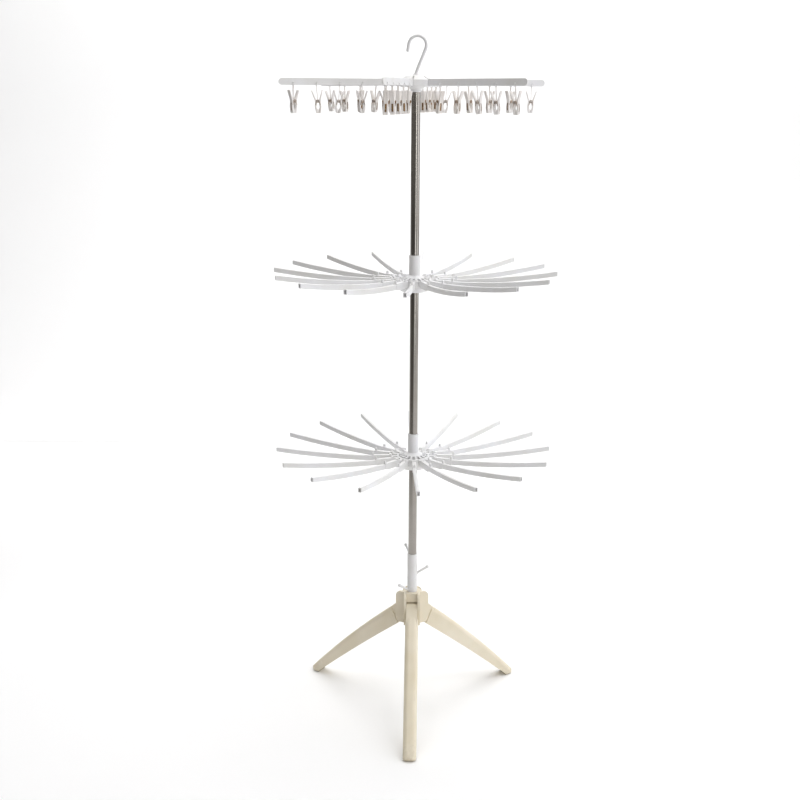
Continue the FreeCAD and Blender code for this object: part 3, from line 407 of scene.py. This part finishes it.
# outward, across, height of a spring's leg
SPRING_LEG = [(2.9, 5.75, -0.6), (4.9, 5.75, -6.5), (5.2, 5.9, -9.0)]
GROOVE_HALF_WIDTH, GROOVE_SLOPE = 2.5, 0.3
STRAP_LENGTH, STRAP_CORNER = 38.0, 0.35
RING_RADIUS, RING_WIRE, RING_TURNS = 3.9, 1.0, 28
RIBS, RIB_WIRE, RIB_HALF_WIDTH = 6, 0.5, 4.4
TOP_RIB_OUT, TOP_RIB_HEIGHT, RIB_STEP_IN, RIB_STEP_DOWN = 12.95, 22.6, 0.64, 2.1
TEETH, TOOTH_WIRE, TOOTH_HALF_WIDTH = 3, 0.42, 5.0
TOP_TOOTH_OUT, TOP_TOOTH_HEIGHT, TOOTH_STEP_IN, TOOTH_STEP_DOWN = 0.66, -23.0, 0.06, 1.25
BOSS_RADIUS, BOSS_OUT, BOSS_ACROSS = 1.7, 2.2, 4.4
SPRING_WIRE, COIL_RADIUS, COIL_FACE = 0.42, 3.0, 5.75
COIL_TURNS, COIL_LENGTH, COIL_STEPS = 2.5, 1.5, 60
LEAF_HALF_THICKNESS, LEAF_HALF_WIDTH, LEAF_CORNER = 0.28, 2.0, 0.12
PIN_RADIUS, PIN_HALF_LENGTH = 0.95, 7.3
SWAY_SEED = 41
MOST_TURN, MOST_TILT, MOST_ROLL = 24, 5, 3


def lever_section(outer, inner, half_width, groove):
    """Half of a clip cut level: (outwards, across) points, with the groove in the outer face."""
    corner = min(0.7, (outer - inner) * 0.35)
    soft = corner * 0.3
    edge = half_width - corner
    far = [(outer, GROOVE_HALF_WIDTH), (outer, edge), (outer - soft, half_width - soft),
           (outer - corner, half_width), (inner + corner, half_width), (inner, edge)]
    near = [(out, -across) for out, across in reversed(far)]
    floor_edge = GROOVE_HALF_WIDTH - GROOVE_SLOPE
    return far + near + [(outer - groove, -floor_edge), (outer - groove, floor_edge)]


def clip_lever(shape, side):
    """One half of a clip: ribbed finger plate, grooved back and a toothed jaw."""
    rings = []
    for height, outer, inner, half_width, groove in LEVER:
        rings.append([Vector((side * out, across, height))
                      for out, across in lever_section(outer, inner, half_width, groove)])
    loft(shape, rings)
    for rib in range(RIBS):
        bar(shape, side * (TOP_RIB_OUT - rib * RIB_STEP_IN), TOP_RIB_HEIGHT - rib * RIB_STEP_DOWN,
            RIB_HALF_WIDTH, RIB_WIRE)
    for tooth in range(TEETH):
        bar(shape, side * (TOP_TOOTH_OUT - tooth * TOOTH_STEP_IN),
            TOP_TOOTH_HEIGHT - tooth * TOOTH_STEP_DOWN, TOOTH_HALF_WIDTH, TOOTH_WIRE)


def bar(shape, out, height, half_length, radius, count=6):
    """A thin round bar straight across a clip."""
    rod(shape, [Vector((out, across, height)) for across in (-half_length, half_length)], radius, count)


def clip_body():
    """The plastic of one clip: both levers and the hanging strap with its two eyes."""
    shape = bmesh.new()
    for side in (-1, 1):
        clip_lever(shape, side)
    for face in (-1, 1):
        rod(shape, [Vector((side * BOSS_OUT, face * BOSS_ACROSS, 0)) for side in (-1, 1)], BOSS_RADIUS, 12)
    loft(shape, [rounded_section(Vector((0, 0, height)), X, Y, thick, wide, STRAP_CORNER)
                 for height, wide, thick in STRAP])
    return shape


def clip_ring():
    """The ring from the strap through the bar."""
    shape = bmesh.new()
    points = []
    for turn in range(RING_TURNS):
        angle = 2 * math.pi * turn / RING_TURNS
        points.append(Vector((0, RING_RADIUS * math.sin(angle),
                              STRAP_LENGTH + RING_RADIUS * math.cos(angle))))
    rod(shape, points, RING_WIRE, closed=True)
    return shape


def clip_spring():
    """The spring: a coil at each end of the pin, its legs, and a leaf in the groove of each lever."""
    shape = bmesh.new()
    for face in (-1, 1):
        coil = []
        for step in range(COIL_STEPS + 1):
            angle = 2 * math.pi * COIL_TURNS * step / COIL_STEPS
            across = face * (COIL_FACE + COIL_LENGTH * step / COIL_STEPS)
            coil.append(Vector((COIL_RADIUS * math.cos(angle), across, COIL_RADIUS * math.sin(angle))))
        rod(shape, coil, SPRING_WIRE, 6)
        for side in (-1, 1):
            rod(shape, [Vector((side * out, face * across, height)) for out, across, height in SPRING_LEG],
                SPRING_WIRE, 6)
    bar(shape, 0, 0, PIN_HALF_LENGTH, PIN_RADIUS, 12)
    for side in (-1, 1):
        loft(shape, [rounded_section(Vector((side * out, 0, height)), X, Y,
                                     LEAF_HALF_THICKNESS, LEAF_HALF_WIDTH, LEAF_CORNER, 1)
                     for height, out in LEAF])
    return shape


def finished(shape, spot):
    """Scale a clip part to metres, put it in place and tidy its normals."""
    bmesh.ops.transform(shape, matrix=spot @ Matrix.Scale(MM, 4), verts=shape.verts)
    bmesh.ops.recalc_face_normals(shape, faces=shape.faces)
    return shape


def hang_clips():
    """Thirty clips, each turned, tilted and rolled a little its own way on its ring."""
    sway = random.Random(SWAY_SEED)

    def turned_by(most, axis):
        return Matrix.Rotation(math.radians(sway.uniform(-most, most)), 4, axis)

    for number in BARS:
        body = "clips_" + number
        swing = joints[body + "_swing"]
        pivot = Vector(swing["pos_m"])
        along = Vector(swing["axis"]).normalized()
        if along.dot(pivot.xy.to_3d()) < 0:
            along = -along
        upright = Matrix((along, Z.cross(along), Z)).transposed().to_4x4()
        down = Matrix.Translation((0, 0, -STRAP_LENGTH * MM))
        for index in range(CLIPS_ON_A_BAR):
            reach = (FIRST_CLIP + CLIP_PITCH * index) * MM
            hang = Matrix.Translation((along.x * reach, along.y * reach, pivot.z)) @ upright
            own_way = (turned_by(MOST_TURN, "Z") @ turned_by(MOST_TILT, "Y")
                       @ turned_by(MOST_ROLL, "X"))
            swung = hang @ own_way @ down
            name = "clip_%s_%d" % (number, index + 1)
            plastic = new_piece(name, finished(clip_body(), swung), CLIP_WHITE, body)
            ring = new_piece(name + "_ring", finished(clip_ring(), hang @ down), WHITE,
                             body)
            spring = new_piece(name + "_spring", finished(clip_spring(), swung), BRONZE,
                               body)
            for piece in (plastic, ring, spring):
                smooth_faces(piece.data, CLIP_EDGE)
            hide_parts(body)


hang_clips()


# ------------------------------------------------------------ studio

def paper(name, rows):
    """A strip of pale studio paper through rows of points."""
    shape = bmesh.new()
    lines = [[shape.verts.new(point) for point in row] for row in rows]
    for first, second in zip(lines, lines[1:]):
        shape.faces.new((first[0], first[1], second[1], second[0]))
    mesh = bpy.data.meshes.new(name)
    shape.to_mesh(mesh)
    shape.free()
    mesh.polygons.foreach_set("use_smooth", [True] * len(mesh.polygons))
    piece = bpy.data.objects.new(name, mesh)
    bpy.context.scene.collection.objects.link(piece)
    return piece


# The last colour is painted shade: the floor is darkened with it far out in front on the left.
PAPER_WHITE, FIBRE_WHITE, FAR_PAINTED_SHADE = linear(251, 251, 251), linear(247, 247, 247), linear(138, 135, 131)
PAINTED_SHADE_STARTS, PAINTED_SHADE_FULL = 1.35, 2.6
FLOOR_REACH = 14.0
PAPER_LIFT = 0.001
SWEEP_STEPS = 16
BACKDROP_FRONT, SWEEP_START, SWEEP_RADIUS = 2.4, 3.2, 1.6
BACKDROP_TOP, BACKDROP_HALF_WIDTH = 5.0, 3.3


def floor():
    """A wide pale floor with painted shade far out in front on the left, and a curved backdrop behind the
    tower.
    """
    finish = Finish("studio_paper")
    place = finish.place()
    fibre = finish.noise(place, 160.0, 3.0)
    across, deep = finish.ways(place)[:2]
    far_out = finish.grade((across * across + deep * deep) ** 0.5, PAINTED_SHADE_STARTS, PAINTED_SHADE_FULL)
    # Painted shade: the floor's colour is darkened far out in front on the left.
    painted_shade = far_out * finish.grade(across, 0.15, -0.8) * finish.grade(deep, 1.4, -0.2)
    tint = finish.blend(painted_shade, finish.blend(fibre, PAPER_WHITE, FIBRE_WHITE), FAR_PAINTED_SHADE)
    finish.skin(Base_Color=tint, Roughness=0.85 + fibre * 0.05)
    reach = FLOOR_REACH
    coat(paper("floor", [[(-reach, y, 0.0), (reach, y, 0.0)] for y in (-reach, reach)]), finish.material)
    sweep = [(BACKDROP_FRONT, PAPER_LIFT), (SWEEP_START, PAPER_LIFT)]
    for step in range(1, SWEEP_STEPS + 1):
        angle = math.radians(90 * step / SWEEP_STEPS)
        sweep.append((SWEEP_START + SWEEP_RADIUS * math.sin(angle),
                      PAPER_LIFT + SWEEP_RADIUS * (1 - math.cos(angle))))
    sweep.append((SWEEP_START + SWEEP_RADIUS, BACKDROP_TOP))
    half = BACKDROP_HALF_WIDTH
    coat(paper("backdrop", [[(-half, y, z), (half, y, z)] for y, z in sweep]), finish.material)


def lamp(name, spot, aim, width, height, power):
    """A soft rectangular lamp turned towards a point."""
    data = bpy.data.lights.new(name, "AREA")
    data.shape = "RECTANGLE"
    data.size = width
    data.size_y = height
    data.energy = power
    light = bpy.data.objects.new(name, data)
    bpy.context.scene.collection.objects.link(light)
    light.location = spot
    light.rotation_mode = "QUATERNION"
    light.rotation_quaternion = (Vector(aim) - Vector(spot)).to_track_quat("-Z", "Y")


DIM_AIR, BRIGHT_AIR = (0.23, 0.222, 0.213, 1.0), (0.62, 0.63, 0.66, 1.0)
AIR_TURNS = (0.15, 0.75)
LAMPS = [
    # name, place, aim, width, height, watts
    ("window", (1.35, -3.3, 1.7), (0, 0, 0.9), 0.45, 3.2, 23.5),
    ("side_panel", (4.4, -0.6, 1.8), (0, 0, 0.8), 2.2, 3.4, 41.0),
    ("sky_panel", (0.3, 0.2, 4.6), (0, 0, 0), 5.0, 5.0, 148.0),
    ("backdrop_wash", (0.0, 2.0, 4.6), (0, 4.6, 1.4), 6.0, 1.2, 112.0),
]


def room():
    """Even grey air that brightens to the right, a tall window lamp and wide panels."""
    air = Finish("room", "worlds", "Background")
    bpy.context.scene.world = air.material
    across = air.ways(air.add("ShaderNodeTexCoord"))[0]
    air.skin(Color=air.blend(air.grade(across, *AIR_TURNS, curve="SMOOTHSTEP"), DIM_AIR, BRIGHT_AIR))
    for lamp_kind in LAMPS:
        lamp(*lamp_kind)


EYE = (-0.0346, -2.8794, 1.5976)
EYE_TILT, EYE_ROLL = 75.27, 0.27
LENS, FILM_WIDTH = 52.5, 36.0


def camera():
    """The eye stands at hanger height and looks a little down."""
    data = bpy.data.cameras.new("camera")
    data.sensor_width = FILM_WIDTH
    data.lens = LENS
    eye = bpy.data.objects.new("camera", data)
    bpy.context.scene.collection.objects.link(eye)
    eye.location = EYE
    tilt = Matrix.Rotation(math.radians(EYE_TILT), 3, "X")
    roll = Matrix.Rotation(math.radians(EYE_ROLL), 3, "Z")
    eye.rotation_euler = (tilt @ roll).to_euler()
    bpy.context.scene.camera = eye


floor()
room()
camera()
bpy.context.scene.view_settings.view_transform = "Standard"

bpy.context.view_layer.update()
